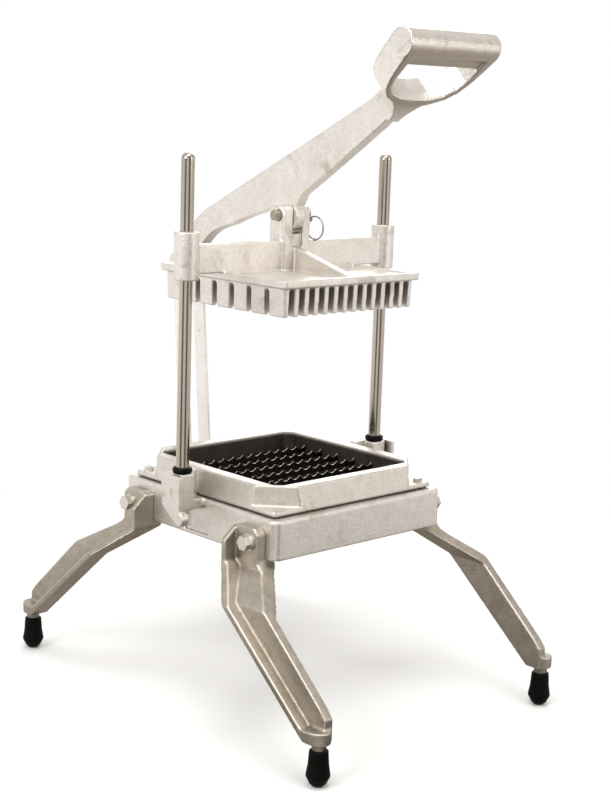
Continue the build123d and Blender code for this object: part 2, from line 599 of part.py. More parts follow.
# local x is across the grip, local y runs up the grip away from the hub
GRIP = Plane(origin=(0, HUB_Y, HUB_Z), x_dir=(1, 0, 0), z_dir=(0, -GRIP_SIN, -GRIP_COS))
# crossbar of the grip: distance along GRIP, offset from it, radius, half length
BAR_ALONG, BAR_OFFSET, BAR_R, BAR_HALF = 254.3, 6.3, 13.2, 58.5
# side outline of arm and shank (y, z)
ARM_TOP = [(172, 428), (160, 446), (145, 461), (129.6, 472.6), (117.5, 479.3)]
SHANK = [
    (117.5, 479.3), (82.2, 496.8), (18.2, 528.4), (-41.8, 557.6), (-98, 585.9),
    (-112, 593), (-132, 608), (-150, 596), (-139.5, 579.8), (-121.3, 566.4),
    (-100, 552.1), (-72.4, 533.5), (-44, 514.6), (-20.4, 499.4), (-13, 487),
    (0, 478), (14, 484.5), (25.8, 482.4), (41.6, 477.2), (61.1, 471.6), (80.9, 463.8)]
ARM_UNDERSIDE = [(80.9, 463.8), (113.2, 452.5), (131.5, 437.2), (148, 414)]
# right half of the stirrup in GRIP coordinates: up the inside, down the outside
STIRRUP_RIGHT = [
    (20, 197.2), (33.5, 202), (42.5, 210.5), (46.5, 222), (47.5, BAR_ALONG),
    (BAR_HALF, BAR_ALONG), (57, 240), (53.5, 222), (47.5, 207), (38, 197.5),
    (24, 191), (9, 186)]
STIRRUP = STIRRUP_RIGHT + [(-x, y) for x, y in reversed(STIRRUP_RIGHT)] + [(0, 195.8)]
# neck between shank and stirrup, in GRIP coordinates
NECK = [(-6.3, 163), (6.3, 163), (8.5, 172), (16, 183),
        (26, 192), (-26, 192), (-16, 183), (-8.5, 172)]

with BuildPart() as lever:
    with BuildSketch(Plane.YZ):
        with BuildLine():
            Spline(*ARM_TOP, tangents=[(-0.3, 1), (-1, 0.5)])
            Polyline(*SHANK)
            Spline(*ARM_UNDERSIDE, tangents=[(1, -0.38), (0.6, -1)])
            Line(ARM_UNDERSIDE[-1], ARM_TOP[0])
        make_face()
        with Locations((HUB_Y, HUB_Z)):
            Circle(HUB_R)
        with Locations((EYE_Y, EYE_Z)):
            Circle(EYE_R)
    extrude(amount=LEVER_HALF, both=True)
    # thicker eye at the rear end
    with BuildSketch(Plane.YZ):
        with Locations((EYE_Y, EYE_Z)):
            Circle(EYE_R)
    extrude(amount=PIVOT_HALF, both=True)
    # stirrup, the flat infill beside the bar, the round bar and the neck
    with BuildSketch(GRIP.offset(BAR_OFFSET - BAR_R)):
        with BuildLine():
            Polyline(*STIRRUP, close=True)
        make_face()
    extrude(amount=2 * BAR_R)
    with BuildSketch(GRIP.offset(BAR_OFFSET - 10)):
        with Locations((0, BAR_ALONG - 8)):
            Rectangle(100, 16)
    extrude(amount=21)
    with BuildSketch(Plane.YZ.offset(-BAR_HALF)):
        with Locations((HUB_Y - BAR_ALONG * GRIP_COS - BAR_OFFSET * GRIP_SIN,
                        HUB_Z + BAR_ALONG * GRIP_SIN - BAR_OFFSET * GRIP_COS)):
            Circle(BAR_R)
    extrude(amount=2 * BAR_HALF)
    with BuildSketch(GRIP.offset(BAR_OFFSET - BAR_R)):
        with BuildLine():
            Polyline(*NECK, close=True)
        make_face()
    extrude(amount=2 * BAR_R - 2)
    # bores
    with BuildSketch(Plane.YZ):
        with Locations((HUB_Y, HUB_Z)):
            Circle(HUB_BUSH_R + BUSH_GAP)
        with Locations((EYE_Y, EYE_Z)):
            Circle(EYE_BUSH_R + BUSH_GAP)
    extrude(amount=20, both=True, mode=Mode.SUBTRACT)
save(lever, "lever")

# bushes: name, centre (y, z), outer radius, pin radius, half length
LEVER_BUSHES = (
    ("lever_hub_bush", (HUB_Y, HUB_Z), HUB_BUSH_R, HUB_PIN_R, LEVER_HALF),
    ("lever_eye_bush", (EYE_Y, EYE_Z), EYE_BUSH_R, LINK_PIN_R, 11.3))
for name, centre, outer_r, pin_r, half_length in LEVER_BUSHES:
    with BuildPart() as lever_bush:
        with BuildSketch(Plane.YZ):
            with Locations(centre):
                Circle(outer_r)
                Circle(pin_r + PIN_GAP, mode=Mode.SUBTRACT)
        extrude(amount=half_length, both=True)
    save(lever_bush, name)

# ---------------------------------------------------------------------------
# Link: two flat bars from the base lug up to the lever's rear eye
# ---------------------------------------------------------------------------
LINK_INNER_X, LINK_OUTER_X, LINK_HALF_WIDTH = 11.5, 15.0, 8.5
LINK_RUN, LINK_RISE = EYE_Y - LUG_Y, EYE_Z - LUG_Z
LINK_LENGTH = math.hypot(LINK_RUN, LINK_RISE)
# from the centre line of the bar to its edge
EDGE_Y = LINK_RISE / LINK_LENGTH * LINK_HALF_WIDTH
EDGE_DROP = LINK_RUN / LINK_LENGTH * LINK_HALF_WIDTH

for name, side in SIDES:
    with BuildPart() as link_bar:
        with BuildSketch(Plane.YZ.offset(side * LINK_INNER_X)):
            with BuildLine():
                Polyline((LUG_Y + EDGE_Y, LUG_Z - EDGE_DROP), (EYE_Y + EDGE_Y, EYE_Z - EDGE_DROP),
                         (EYE_Y - EDGE_Y, EYE_Z + EDGE_DROP), (LUG_Y - EDGE_Y, LUG_Z + EDGE_DROP),
                         close=True)
            make_face()
            with Locations((LUG_Y, LUG_Z), (EYE_Y, EYE_Z)):
                Circle(LINK_HALF_WIDTH)
            with Locations((LUG_Y, LUG_Z), (EYE_Y, EYE_Z)):
                Circle(LINK_PIN_R + PIN_GAP, mode=Mode.SUBTRACT)
        extrude(amount=side * (LINK_OUTER_X - LINK_INNER_X))
        outer_face = link_bar.faces().sort_by(Axis.X)[0 if side < 0 else -1]
        chamfer(outer_face.edges().filter_by(lambda e: e.length > 15), length=0.6)
    save(link_bar, f"link_bar_{name}")

# lower pivot: through bolt with its head on the left and nut on the right
LOWER_HEAD_X = LINK_OUTER_X + 1.5
LOWER_HEX_R = 8.6

with BuildPart() as link_lower_bolt:
    with BuildSketch(Plane.YZ.offset(-LOWER_HEAD_X)):
        with Locations((LUG_Y, LUG_Z)):
            RegularPolygon(LOWER_HEX_R, 6)
    extrude(amount=-6)
    with BuildSketch(Plane.YZ.offset(-LOWER_HEAD_X)):
        with Locations((LUG_Y, LUG_Z)):
            Circle(LINK_PIN_R)
    extrude(amount=2 * LINK_OUTER_X + 12)
save(link_lower_bolt, "link_lower_bolt")

with BuildPart() as link_lower_washers:
    for _, side in SIDES:
        with BuildSketch(Plane.YZ.offset(side * (LINK_OUTER_X + 0.1))):
            with Locations((LUG_Y, LUG_Z)):
                Circle(9.2)
                Circle(LINK_PIN_R + PIN_GAP, mode=Mode.SUBTRACT)
        extrude(amount=side * 1.3)
save(link_lower_washers, "link_lower_washers")

with BuildPart() as link_lower_nut:
    with BuildSketch(Plane.YZ.offset(LOWER_HEAD_X)):
        with Locations((LUG_Y, LUG_Z)):
            RegularPolygon(LOWER_HEX_R, 6)
            Circle(LINK_PIN_R + PIN_GAP, mode=Mode.SUBTRACT)
    extrude(amount=8)
save(link_lower_nut, "link_lower_nut")

# upper pivot: hex and short shank each side, stopping at the bar's inner face
for name, side, hex_height in (("link_upper_bolt", -1, 4.5), ("link_upper_nut", 1, 6)):
    with BuildPart() as upper_pivot:
        with BuildSketch(Plane.YZ.offset(side * LINK_OUTER_X)):
            with Locations((EYE_Y, EYE_Z)):
                RegularPolygon(7.4, 6)
        extrude(amount=side * hex_height)
        with BuildSketch(Plane.YZ.offset(side * LINK_OUTER_X)):
            with Locations((EYE_Y, EYE_Z)):
                Circle(LINK_PIN_R)
        extrude(amount=-side * (LINK_OUTER_X - LINK_INNER_X))
    save(upper_pivot, name)

# ---------------------------------------------------------------------------
# Quick-release hub pin with a spring-loaded ball and a pull ring
# ---------------------------------------------------------------------------
TIP_X, COLLAR_X, RING_X = -24.5, 17.7, 21.5
TAB_X = COLLAR_X + 1
DIAGONAL = math.sqrt(0.5)
RING_R, WIRE_R = 11.5, 0.8
RING_HOLE_OUT = 6.4         # pin axis to the ring hole in the tab
BALL_X, BALL_R = -20.4, 1.75
# tab outline: (x from TAB_X, distance from the pin axis)
TAB_OUTLINE = [(0, 1), (4.0, 1), (4.9, 3), (4.9, 8.2), (3.4, 9.2), (0, 7.6)]

with BuildPart() as release_pin:
    with BuildSketch(Plane.YZ.offset(TIP_X)):
        with Locations((HUB_Y, HUB_Z)):
            Circle(HUB_PIN_R)
    extrude(amount=COLLAR_X - TIP_X)
    chamfer(release_pin.faces().sort_by(Axis.X)[0].edges(), length=1.2)
    with BuildSketch(Plane.YZ.offset(COLLAR_X)):
        with Locations((HUB_Y, HUB_Z)):
            Circle(8.6)
    extrude(amount=1.8)
    fillet(release_pin.faces().sort_by(Axis.X)[-1].edges(), radius=0.6)
    # flat tab, pointing down and forward, that the ring passes through
    with BuildSketch(Plane(origin=(TAB_X, HUB_Y, HUB_Z), x_dir=(1, 0, 0),
                           z_dir=(0, DIAGONAL, -DIAGONAL))):
        with BuildLine():
            Polyline(*TAB_OUTLINE, close=True)
        make_face()
        with Locations((RING_X - TAB_X, RING_HOLE_OUT)):
            Circle(1.2, mode=Mode.SUBTRACT)
    extrude(amount=1.3, both=True)
    # pocket for the ball and spring, open at the top
    with BuildSketch(Plane.XY.offset(HUB_Z)):
        with Locations((BALL_X, HUB_Y)):
            Circle(BALL_R + 0.1)
    extrude(amount=10, mode=Mode.SUBTRACT)
save(release_pin, "release_pin")

with BuildPart() as detent_ball:
    with Locations((BALL_X, HUB_Y, HUB_Z + HUB_PIN_R - BALL_R)):
        Sphere(BALL_R)
save(detent_ball, "detent_ball")

with BuildPart() as detent_spring:
    with BuildLine():
        coil = Helix(pitch=0.62, height=0.9, radius=1.2, center=(BALL_X, HUB_Y, HUB_Z + 0.3))
    with BuildSketch(Plane(origin=coil @ 0, z_dir=coil % 0)):
        Circle(0.18)
    sweep(path=coil, is_frenet=True)
save(detent_spring, "detent_spring")

# the ring hangs from the tab in a plane across the pin, with a bead at its foot
RING_DROP = (RING_HOLE_OUT + RING_R) * DIAGONAL
RING_Y, RING_Z = HUB_Y - RING_DROP, HUB_Z - RING_DROP
with BuildPart() as pull_ring:
    with Locations(Location((RING_X, RING_Y, RING_Z), (0, 90, 0))):
        Torus(RING_R, WIRE_R)
    with Locations((RING_X, RING_Y, RING_Z - RING_R)):
        Sphere(1.7)
save(pull_ring, "pull_ring")
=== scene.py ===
"""A hand-lever cutter of cast aluminium standing on four legs.

Metres, +Z up, X and Y level, floor at z = 0. The lever's grip lies towards -Y, and the
blade frame's opening is centred on the Z axis. The camera looks from -X -Y.
"""
import json
import math

import bpy
from mathutils import Matrix, Vector


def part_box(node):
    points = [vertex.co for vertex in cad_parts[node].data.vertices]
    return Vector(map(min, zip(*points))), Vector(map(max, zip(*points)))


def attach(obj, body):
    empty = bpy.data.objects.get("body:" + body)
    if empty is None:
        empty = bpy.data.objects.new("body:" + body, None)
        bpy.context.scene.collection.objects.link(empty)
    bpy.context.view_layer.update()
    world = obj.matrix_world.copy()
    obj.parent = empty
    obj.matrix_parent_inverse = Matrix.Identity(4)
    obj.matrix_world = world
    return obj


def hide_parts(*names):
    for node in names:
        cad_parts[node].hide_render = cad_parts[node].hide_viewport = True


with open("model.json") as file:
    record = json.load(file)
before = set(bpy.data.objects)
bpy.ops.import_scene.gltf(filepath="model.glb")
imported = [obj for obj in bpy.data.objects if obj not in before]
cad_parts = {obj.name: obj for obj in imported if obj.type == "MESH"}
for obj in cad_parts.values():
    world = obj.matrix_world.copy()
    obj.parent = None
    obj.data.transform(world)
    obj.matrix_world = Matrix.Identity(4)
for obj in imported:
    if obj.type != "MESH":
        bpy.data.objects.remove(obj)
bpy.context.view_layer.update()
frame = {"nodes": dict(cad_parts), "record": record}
NODES = frame["nodes"]
BODY_OF = {
    node: body
    for body, members in frame["record"]["behaviour"]["bodies"].items()
    for node in members
}
SLOT_OF = {part["node"]: part["material_slot"] for part in frame["record"]["subparts"]}


# ---------------------------------------------------------------------------
# Shader graphs
# ---------------------------------------------------------------------------
def rgba(colour):
    """Opaque colour from a grey level or an RGB triple."""
    if isinstance(colour, (int, float)):
        colour = (colour,) * 3
    return (*colour, 1.0)


def scaled(colour, factor):
    return tuple(factor * channel for channel in colour)


class Graph:
    """Node tree with short builders; each returns an output socket, but node() the node."""

    def __init__(self, tree, coordinates):
        self.tree = tree
        tree.nodes.clear()
        self.place = self.node("TexCoord").outputs[coordinates]

    def feed(self, socket, value):
        """Link a socket, or set a plain value."""
        if isinstance(value, bpy.types.NodeSocket):
            self.tree.links.new(value, socket)
        else:
            socket.default_value = value

    def node(self, kind, inputs=None, **settings):
        new = self.tree.nodes.new("ShaderNode" + kind)
        for key, value in settings.items():
            setattr(new, key, value)
        for key, value in (inputs or {}).items():
            self.feed(new.inputs[key], value)
        return new

    def noise(self, scale, detail, rough=0.55, distortion=0.0, place=None):
        inputs = {"Scale": scale, "Detail": detail, "Roughness": rough,
                  "Distortion": distortion, "Vector": place or self.place}
        return self.node("TexNoise", inputs).outputs["Fac"]

    def lines(self, scales):
        """Noise drawn out into lines along the axes with a low scale."""
        mapping = self.node("Mapping", {"Scale": scales, "Vector": self.place})
        return self.noise(scale=1.0, detail=3, rough=0.7, place=mapping.outputs["Vector"])

    def ramp(self, value, stops):
        """Colour ramp through (position, colour) stops."""
        new = self.node("ValToRGB", {"Fac": value})
        elements = new.color_ramp.elements
        elements.remove(elements[-1])
        elements[0].position = stops[0][0]
        elements[0].color = rgba(stops[0][1])
        for position, colour in stops[1:]:
            elements.new(position).color = rgba(colour)
        return new.outputs["Color"]

    def rise(self, value, lo, hi):
        """0 below lo, 1 above hi."""
        return self.ramp(value, [(lo, 0.0), (hi, 1.0)])

    def fall(self, value, lo, hi):
        """1 below lo, 0 above hi."""
        return self.ramp(value, [(lo, 1.0), (hi, 0.0)])

    def math(self, operation, *values):
        return self.node("Math", dict(enumerate(values)), operation=operation).outputs[0]

    def mul(self, a, b):
        return self.math("MULTIPLY", a, b)

    def sub(self, a, b):
        return self.math("SUBTRACT", a, b)

    def magnitude(self, value):
        return self.math("ABSOLUTE", value, 0.0)

    def weigh(self, *terms, base=None):
        """Base plus the sum of (value, weight) terms."""
        total = base
        for value, weight in terms:
            term = self.mul(value, weight)
            total = term if total is None else self.math("ADD", total, term)
        return total

    def vector(self, operation, *vectors, output="Vector"):
        new = self.node("VectorMath", dict(enumerate(vectors)), operation=operation)
        return new.outputs[output]

    def split(self, vector):
        return self.node("SeparateXYZ", {0: vector}).outputs

    def geometry(self, output):
        return self.node("NewGeometry").outputs[output]

    def layer(self, under, over, amount, blend="MIX"):
        """Colour `over` laid on colour `under` by `amount`."""
        inputs = {0: amount}
        for key, colour in ((6, under), (7, over)):
            is_socket = isinstance(colour, bpy.types.NodeSocket)
            inputs[key] = colour if is_socket else rgba(colour)
        return self.node("Mix", inputs, data_type="RGBA", blend_type=blend).outputs[2]

    def bump(self, height, strength, depth, normal=None):
        inputs = {"Strength": strength, "Distance": depth, "Height": height}
        if normal is not None:
            inputs["Normal"] = normal
        return self.node("Bump", inputs).outputs["Normal"]

    def bevel(self, radius):
        return self.node("Bevel", {"Radius": radius}, samples=4).outputs["Normal"]

    def occlusion(self, distance):
        new = self.node("AmbientOcclusion", {"Distance": distance}, samples=8, only_local=True)
        return new.outputs["AO"]

    def camera_switch(self, reflected, seen):
        """`seen` for camera rays, `reflected` for all others."""
        is_camera = self.node("LightPath").outputs["Is Camera Ray"]
        return self.node("MixShader", {0: is_camera, 1: reflected, 2: seen}).outputs[0]


class Surface(Graph):
    """A material with a Principled shader on its output."""

    def __init__(self, name):
        self.material = bpy.data.materials.new(name)
        self.material.use_nodes = True
        super().__init__(self.material.node_tree, "Object")
        self.shader = self.node("BsdfPrincipled")
        self.output = self.node("OutputMaterial", {0: self.shader.outputs[0]})

    def finish(self, colour, rough, metallic=0.0, normal=None):
        inputs = self.shader.inputs
        self.feed(inputs["Base Color"], colour)
        self.feed(inputs["Roughness"], rough)
        self.feed(inputs["Metallic"], metallic)
        if normal is not None:
            self.feed(inputs["Normal"], normal)
        return self.material


# ---------------------------------------------------------------------------
# Materials
# ---------------------------------------------------------------------------
GRIP_START = 0.155  # distance towards -Y where the lever's polish is full
OPENING_HALF_X = 0.0900
OPENING_HALF_Y = 0.0911
OPENING_CORNER = 0.1763  # limit of |x| + |y|, which cuts the corners off
FRAME_LOW, FRAME_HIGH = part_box("blade_frame")

# Noise scales per axis for grinding lines
LINES_ALONG_X = (60, 900, 900)
LINES_ALONG_Y = (900, 60, 900)
LINES_AROUND_Z = (30, 30, 1600)


def polished_grip_shaded_underside(s, colour, rough, mid):
    """Polish the lever's grip, and paint brown shade on its underside: a painted reflection of
    the dark below.
    """
    grip = s.rise(s.mul(s.split(s.place)["Y"], -1.0), lo=GRIP_START - 0.02, hi=GRIP_START)
    normal = s.split(s.geometry("Normal"))
    # facing down and towards -Y, with an uneven border: these faces get painted shade
    underside = s.weigh((normal["Y"], -0.55), (normal["Z"], -0.83), (mid, 0.25))
    underside_painted_shade = s.mul(s.rise(underside, lo=0.74, hi=0.98), grip)
    # painted shade: a brown painted reflection on the grip's underside
    colour = s.layer(colour, (0.26, 0.19, 0.135), amount=s.mul(underside_painted_shade, 0.72))
    return colour, s.sub(rough, s.mul(grip, 0.14))


def shaded_opening(s, colour, rough, mid):
    """Paint shade on the walls of the opening and a painted shadow line at the frame's foot."""
    place = s.split(s.place)
    x, y, z = place["X"], place["Y"], place["Z"]
    inside_x = s.math("LESS_THAN", s.magnitude(x), OPENING_HALF_X)
    inside_y = s.math("LESS_THAN", s.magnitude(y), OPENING_HALF_Y)
    below_top = s.rise(s.sub(FRAME_HIGH[2], z), lo=0.0005, hi=0.0032)
    diagonal = s.math("ADD", s.magnitude(x), s.magnitude(y))
    inside_corner = s.math("LESS_THAN", diagonal, OPENING_CORNER)
    wall = s.mul(s.mul(inside_x, inside_y), s.mul(below_top, inside_corner))
    # painted shade: the walls inside the opening, shaded by the blades, go near black
    opening_painted_shade = s.layer((0.016, 0.015, 0.012), (0.055, 0.050, 0.040), amount=mid)
    colour = s.layer(colour, opening_painted_shade, amount=s.mul(wall, 0.93))
    # painted shadow line along the frame's foot, where it meets the base
    foot_shadow_line = s.fall(s.sub(z, FRAME_LOW[2]), lo=0.0013, hi=0.0019)
    colour = s.layer(colour, (0.035, 0.028, 0.020), amount=s.mul(foot_shadow_line, 0.9))
    return colour, s.weigh((wall, 0.15), base=rough)


def cast_metal(name, base, dark, bright, rough, stain_and_shade_colour=(0.30, 0.22, 0.15), speck=0.26,
               hollow_stain_and_shade=0.42, rim=0.5, edge_range=(0.53, 0.62), wear_stains_and_painted_light=True, grain_depth=0.00064,
               extra=None):
    """Tumbled sand casting.

    speck, hollow_stain_and_shade and rim are the strengths of the grain's colour, of the
    darkening in hollows (partly a real stain, partly painted shade) and in crevices (painted
    shade), and of the brightened edges (partly rubbed wear, partly a painted highlight).
    stain_and_shade_colour colours the stained spots and, darker, the hollows and crevices.
    edge_range is the pointiness over which an edge turns bright. wear_stains_and_painted_light
    turns the hollow stains and shade, the crevice shade and the bright edges on. extra changes
    colour and roughness.
    """
    s = Surface(name)
    big = s.noise(scale=14.0, detail=5, rough=0.6)
    mid = s.noise(scale=75.0, detail=4, rough=0.6)
    fine = s.noise(scale=430.0, detail=3, rough=0.65)
    sand = s.noise(scale=1100.0, detail=2, rough=0.6)
    blot = s.noise(scale=34.0, detail=3, rough=0.5, distortion=0.6)

    # mottling, light and dark grains, then stained spots
    tone = s.weigh((big, 0.40), (mid, 0.60))
    colour = s.layer(dark, base, amount=s.rise(tone, lo=0.38, hi=0.60))
    light_grain = s.rise(fine, lo=0.50, hi=0.68)
    colour = s.layer(colour, bright, amount=s.mul(light_grain, speck))
    dark_grain = s.fall(fine, lo=0.34, hi=0.47)
    colour = s.layer(colour, scaled(dark, 0.62), amount=s.mul(dark_grain, speck))
    spots = s.rise(blot, lo=0.62, hi=0.72)
    colour = s.layer(colour, stain_and_shade_colour, amount=s.mul(spots, 0.38))
    roughness = s.weigh((mid, 0.12), (fine, 0.10), base=rough - 0.09)

    if wear_stains_and_painted_light:
        edge = s.rise(s.geometry("Pointiness"), *edge_range)
        concave_stain_and_shade = s.fall(s.geometry("Pointiness"), lo=0.38, hi=0.480)
        # hollows darker: partly a real stain, partly painted shade
        colour = s.layer(colour, scaled(stain_and_shade_colour, 0.55), amount=s.mul(concave_stain_and_shade, hollow_stain_and_shade))
        # edges lighter: partly rubbed wear, partly a painted highlight
        colour = s.layer(colour, (0.93, 0.91, 0.88), amount=s.mul(edge, rim))
        # painted shade in crevices, from ambient occlusion
        crevice_painted_shade = s.ramp(s.occlusion(distance=0.014), [(0.25, 0.85), (0.80, 0.0)])
        colour = s.layer(colour, scaled(stain_and_shade_colour, 0.35), amount=s.mul(crevice_painted_shade, hollow_stain_and_shade))
        roughness = s.sub(roughness, s.mul(edge, 0.10))
    if extra:
        colour, roughness = extra(s, colour, roughness, mid)

    cells = s.node("TexVoronoi", {"Scale": 240.0, "Vector": s.place}).outputs["Distance"]
    pits = s.rise(cells, lo=0.0, hi=0.16)
    height = s.weigh((fine, 0.75), (sand, 0.40), (mid, 0.9), (pits, 0.12))
    normal = s.bump(height, strength=0.6, depth=grain_depth)
    return s.finish(colour, roughness, metallic=1.0, normal=normal)


def ground_steel(name, base, rough, scales, edge=0.0006):
    """Bright steel with fine grinding lines; edge is the radius of its shaded bevel."""
    s = Surface(name)
    lines = s.lines(scales)
    soft = s.noise(scale=22.0, detail=3, rough=0.5)
    colour = s.layer(base, scaled(base, 0.72), amount=s.mul(lines, 0.5))
    patches = s.mul(s.rise(soft, lo=0.5, hi=0.8), 0.25)
    colour = s.layer(colour, (0.42, 0.35, 0.28), amount=patches)
    normal = s.bump(lines, strength=0.25, depth=0.00006,
                    normal=s.bevel(edge) if edge else None)
    return s.finish(colour, s.weigh((lines, 0.12), base=rough), metallic=1.0, normal=normal)


def blade_metal(name):
    """Blade stock with painted shade, near black, on its flanks, and a bright ground edge on the
    upward faces, partly a painted highlight on their lit tops.
    """
    s = Surface(name)
    lines = s.lines((300, 300, 1500))
    soft = s.noise(scale=60.0, detail=4, rough=0.6)
    upward = s.rise(s.split(s.geometry("True Normal"))["Z"], lo=0.15, hi=0.35)
    # painted shade: the flanks, shaded between the blades, go near black
    shaded_flank = s.layer((0.020, 0.018, 0.014), (0.060, 0.054, 0.044), amount=soft)
    shaded_flank = s.layer(shaded_flank, (0.10, 0.09, 0.075), amount=s.mul(lines, 0.35))
    # upward faces lighter: partly the real ground edge, partly painted light on the lit tops
    edge = s.layer((0.52, 0.49, 0.42), (0.80, 0.77, 0.70), amount=soft)
    return s.finish(s.layer(shaded_flank, edge, amount=upward), s.weigh((lines, 0.14), base=0.30),
                    metallic=1.0, normal=s.bump(lines, strength=0.25, depth=0.00005))


def black_rubber(name):
    """Near-black rubber with a little dust."""
    s = Surface(name)
    soft = s.noise(scale=60.0, detail=4, rough=0.6)
    fine = s.noise(scale=900.0, detail=3, rough=0.6)
    dust = s.rise(s.noise(scale=28.0, detail=5, rough=0.7), lo=0.55, hi=0.85)
    colour = s.layer((0.0015, 0.0014, 0.0014), (0.005, 0.0045, 0.004), amount=soft)
    colour = s.layer(colour, (0.03, 0.028, 0.025), amount=s.mul(dust, 0.12))
    s.feed(s.shader.inputs["Specular IOR Level"], 0.10)
    height = s.weigh((fine, 0.5), (soft, 1.0))
    normal = s.bump(height, strength=0.35, depth=0.0003, normal=s.bevel(0.0008))
    return s.finish(colour, s.weigh((soft, 0.22), base=0.30), normal=normal)


def bronze(name):
    s = Surface(name)
    fine = s.noise(scale=1400.0, detail=2, rough=0.6)
    soft = s.noise(scale=50.0, detail=4, rough=0.6)
    colour = s.layer((0.30, 0.18, 0.08), (0.62, 0.42, 0.20), amount=soft)
    normal = s.bump(fine, strength=0.4, depth=0.0001, normal=s.bevel(0.0004))
    return s.finish(colour, s.weigh((fine, 0.2), base=0.36), metallic=1.0, normal=normal)


# by material slot
MATERIALS = {
    "cast_aluminium": cast_metal(
        "cast_aluminium", base=(0.83, 0.79, 0.745), dark=(0.74, 0.70, 0.65),
        bright=(0.97, 0.95, 0.93), rough=0.43),
    "leg_aluminium": cast_metal(
        "leg_aluminium", base=(0.520, 0.468, 0.400), dark=(0.405, 0.360, 0.300),
        bright=(0.72, 0.67, 0.60), rough=0.40, stain_and_shade_colour=(0.24, 0.19, 0.135),
        hollow_stain_and_shade=0.95, rim=0.95, edge_range=(0.515, 0.585)),
    "link_aluminium": cast_metal(
        "link_aluminium", base=(0.93, 0.91, 0.88), dark=(0.86, 0.83, 0.79),
        bright=(0.97, 0.96, 0.94), rough=0.38, speck=0.3, wear_stains_and_painted_light=False, grain_depth=0.00032),
    "rod_steel": ground_steel(
        "rod_steel", base=(0.50, 0.45, 0.385), rough=0.12, scales=LINES_AROUND_Z),
    "blade_steel": blade_metal("blade_steel"),
    "fastener_steel": ground_steel(
        "fastener_steel", base=(0.80, 0.77, 0.71), rough=0.26, scales=LINES_ALONG_X),
    "ring_wire": ground_steel(
        "ring_wire", base=(0.42, 0.38, 0.33), rough=0.18, scales=LINES_ALONG_Y, edge=0),
    "bronze": bronze("bronze"),
    "rubber": black_rubber("rubber"),
}
PIN_STEEL = ground_steel(
    "pin_steel", base=(0.40, 0.355, 0.30), rough=0.24, scales=LINES_ALONG_X)
# castings whose material differs from their slot's
CASTING_MATERIALS = {
    "lever": cast_metal(
        "lever_aluminium", base=(0.83, 0.79, 0.745), dark=(0.74, 0.70, 0.65),
        bright=(0.97, 0.95, 0.92), rough=0.42, extra=polished_grip_shaded_underside),
    "blade_frame": cast_metal(
        "blade_frame_aluminium", base=(0.77, 0.73, 0.68), dark=(0.68, 0.64, 0.58),
        bright=(0.95, 0.93, 0.90), rough=0.43, rim=0.22, extra=shaded_opening),
}


def paint(obj, material):
    obj.data.materials.clear()
    obj.data.materials.append(material)


for name, obj in NODES.items():
    is_pin = name in ("release_pin", "foot_studs")
    paint(obj, PIN_STEEL if is_pin else MATERIALS[SLOT_OF[name]])

# ---------------------------------------------------------------------------
# Castings: CAD shapes remeshed and smoothed, so that every edge gets a small fillet
# ---------------------------------------------------------------------------
VOXEL_FACTOR = 1.0
# node: (voxel size, smoothing steps)
CASTINGS = {
    "base_frame": (0.0009, 4),
    "pusher_head": (0.0008, 4),
    "lever": (0.0009, 7),
    "blade_frame": (0.0008, 4),
    "leg_front_left": (0.0009, 14),
    "leg_front_right": (0.0009, 14),
    "leg_back_left": (0.0009, 14),
    "leg_back_right": (0.0009, 14),
}


def shade_smooth(obj):
    for face in obj.data.polygons:
        face.use_smooth = True


def apply_modifiers(obj):
    depsgraph = bpy.context.evaluated_depsgraph_get()
    depsgraph.update()
    mesh = bpy.data.meshes.new_from_object(obj.evaluated_get(depsgraph))
    obj.modifiers.clear()
    obj.data = mesh


def casting(node, voxel, smoothing):
    obj = bpy.data.objects.new("casting_" + node, NODES[node].data.copy())
    bpy.context.scene.collection.objects.link(obj)
    weld = obj.modifiers.new("weld", "WELD")
    weld.merge_threshold = 0.00001
    remesh = obj.modifiers.new("remesh", "REMESH")
    remesh.mode = "VOXEL"
    remesh.voxel_size = voxel
    remesh.adaptivity = 0.0
    remesh.use_smooth_shade = True
    smooth = obj.modifiers.new("smooth", "SMOOTH")
    smooth.factor = 0.5
    smooth.iterations = smoothing
    apply_modifiers(obj)
    shade_smooth(obj)
    paint(obj, CASTING_MATERIALS.get(node, MATERIALS[SLOT_OF[node]]))
    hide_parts(node)
    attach(obj, BODY_OF[node])


for node, (voxel, smoothing) in CASTINGS.items():
    casting(node, voxel * VOXEL_FACTOR, smoothing)

# The other pieces keep their mesh; these ones stay smooth up to a wider angle
ROUND_PIECES = ("guide_rod", "rubber_foot", "rod_bumper", "detent", "pull_ring", "sleeve")
for name, obj in NODES.items():
    if not obj.hide_render:
        shade_smooth(obj)
        sharp_angle = 35 if name.startswith(ROUND_PIECES) else 25
        obj.data.set_sharp_from_angle(angle=math.radians(sharp_angle))

# ---------------------------------------------------------------------------
# Floor and world
# ---------------------------------------------------------------------------
FLOOR_HALF = 6
# level directions of two dark upright bands, one on each side of the camera
BAND_DIRECTIONS = ((-0.978, -0.208, 0), (-0.139, -0.990, 0))


def dark_bands(graph):
    """Brightness factor that drops around the band directions."""
    level = graph.vector("MULTIPLY", graph.place, (1, 1, 0))
    heading = graph.vector("NORMALIZE", level)
    first, second = (
        graph.ramp(graph.vector("DOT_PRODUCT", heading, direction, output="Value"),
                   [(0.950, 1.0), (0.980, 0.16)])
        for direction in BAND_DIRECTIONS)
    return graph.mul(first, second)


